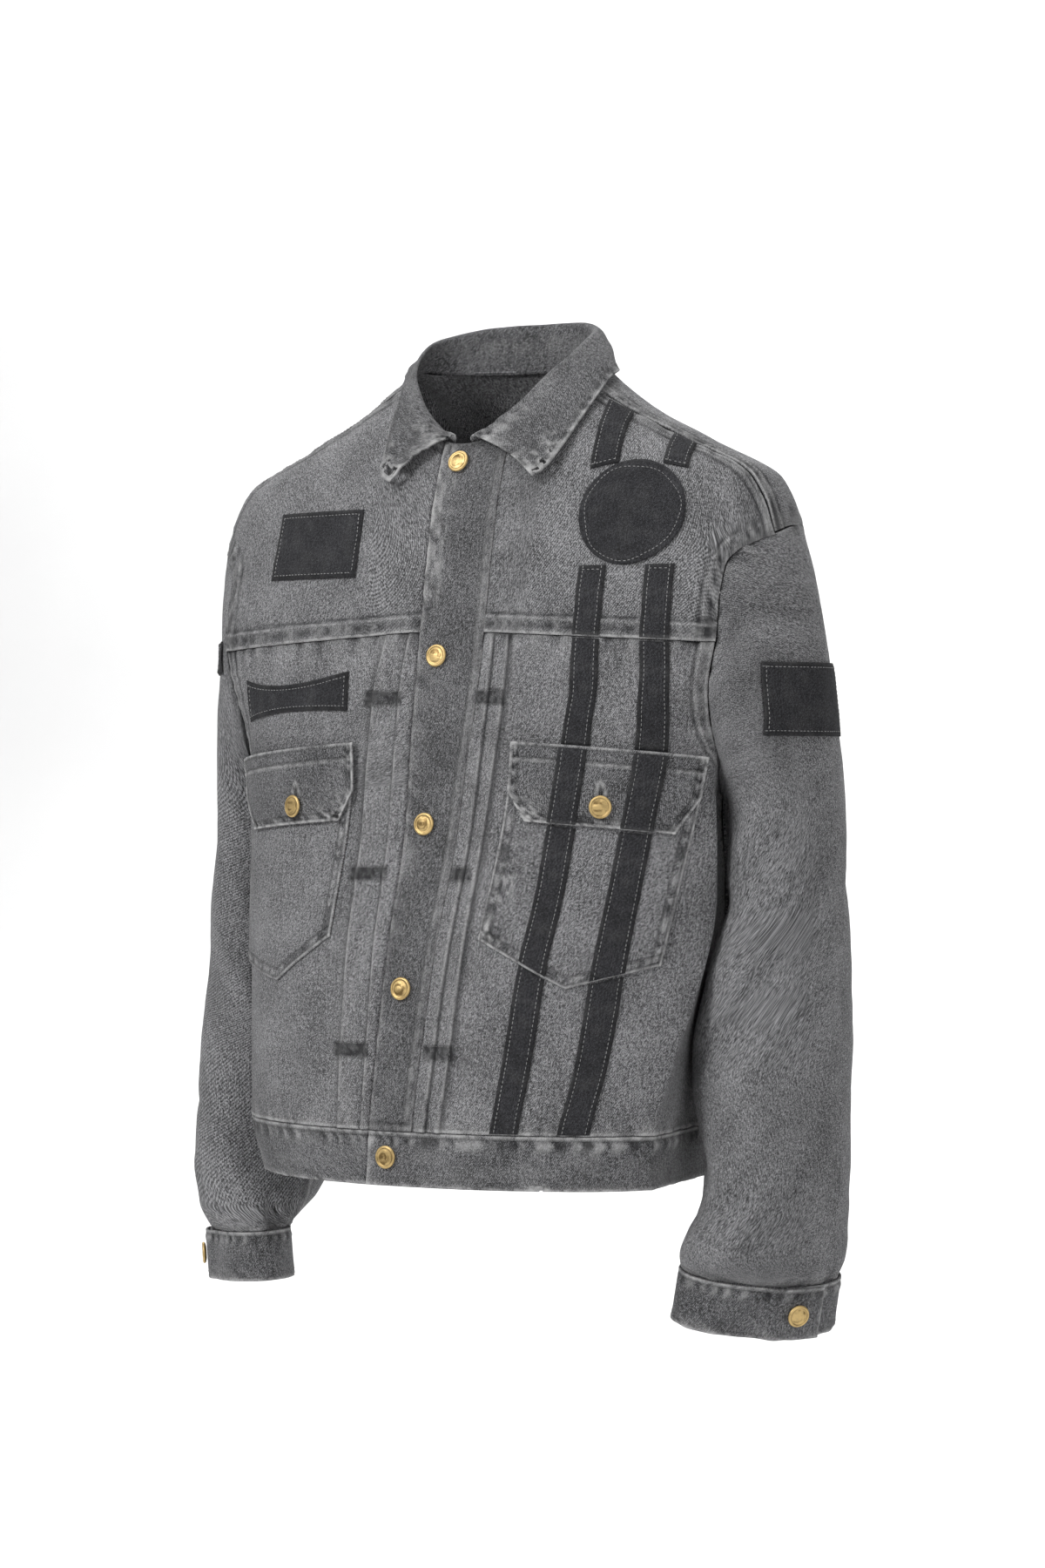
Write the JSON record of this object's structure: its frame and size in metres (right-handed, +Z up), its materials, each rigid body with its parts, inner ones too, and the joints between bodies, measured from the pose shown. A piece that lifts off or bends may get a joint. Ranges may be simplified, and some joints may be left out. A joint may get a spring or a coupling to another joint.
{
  "type": "denim jacket",
  "caption": "Boxy washed black denim jacket in worn form, with pleated front, flap pockets, dark stitched patches and brass buttons.",
  "frame": {"origin": "middle of the neck opening, level with the top of the shoulders, where the wearer's neck stands", "axes": "+Z up, -Y the front of the jacket, +X the wearer's left"},
  "size_m": [0.5538, 0.2723, 0.7627],
  "materials": {
    "denim": "washed grey-black twill, pale at worn seams",
    "patch": "dark unfaded twill with a pale running stitch",
    "button": "dull stamped brass"
  },
  "bodies": {
    "root": {"front_yoke_left": "denim", "front_left": "denim", "sleeve_left": "denim", "cuff_left": "denim", "pocket_left": "denim", "flap_left": "denim", "front_yoke_right": "denim", "front_right": "denim", "sleeve_right": "denim", "cuff_right": "denim", "pocket_right": "denim", "flap_right": "denim", "back_yoke": "denim", "back": "denim", "placket": "denim", "waistband": "denim", "collar": "denim", "patch_sleeve_left": "patch", "patch_sleeve_right": "patch", "patch_short_a": "patch", "patch_short_b": "patch", "patch_square": "patch", "patch_waisted": "patch", "patch_disc": "patch", "patch_strip_a_yoke": "patch", "patch_strip_a_front": "patch", "patch_strip_a_flap": "patch", "patch_strip_a_pocket": "patch", "patch_strip_a_low": "patch", "patch_strip_b_yoke": "patch", "patch_strip_b_front": "patch", "patch_strip_b_flap": "patch", "patch_strip_b_pocket": "patch", "patch_strip_b_low": "patch", "button_front_1": "button", "button_front_2": "button", "button_front_3": "button", "button_front_4": "button", "button_front_5": "button", "button_cuff_left": "button", "button_cuff_right": "button", "button_flap_left": "button", "button_flap_right": "button"}
  },
  "joints": []
}
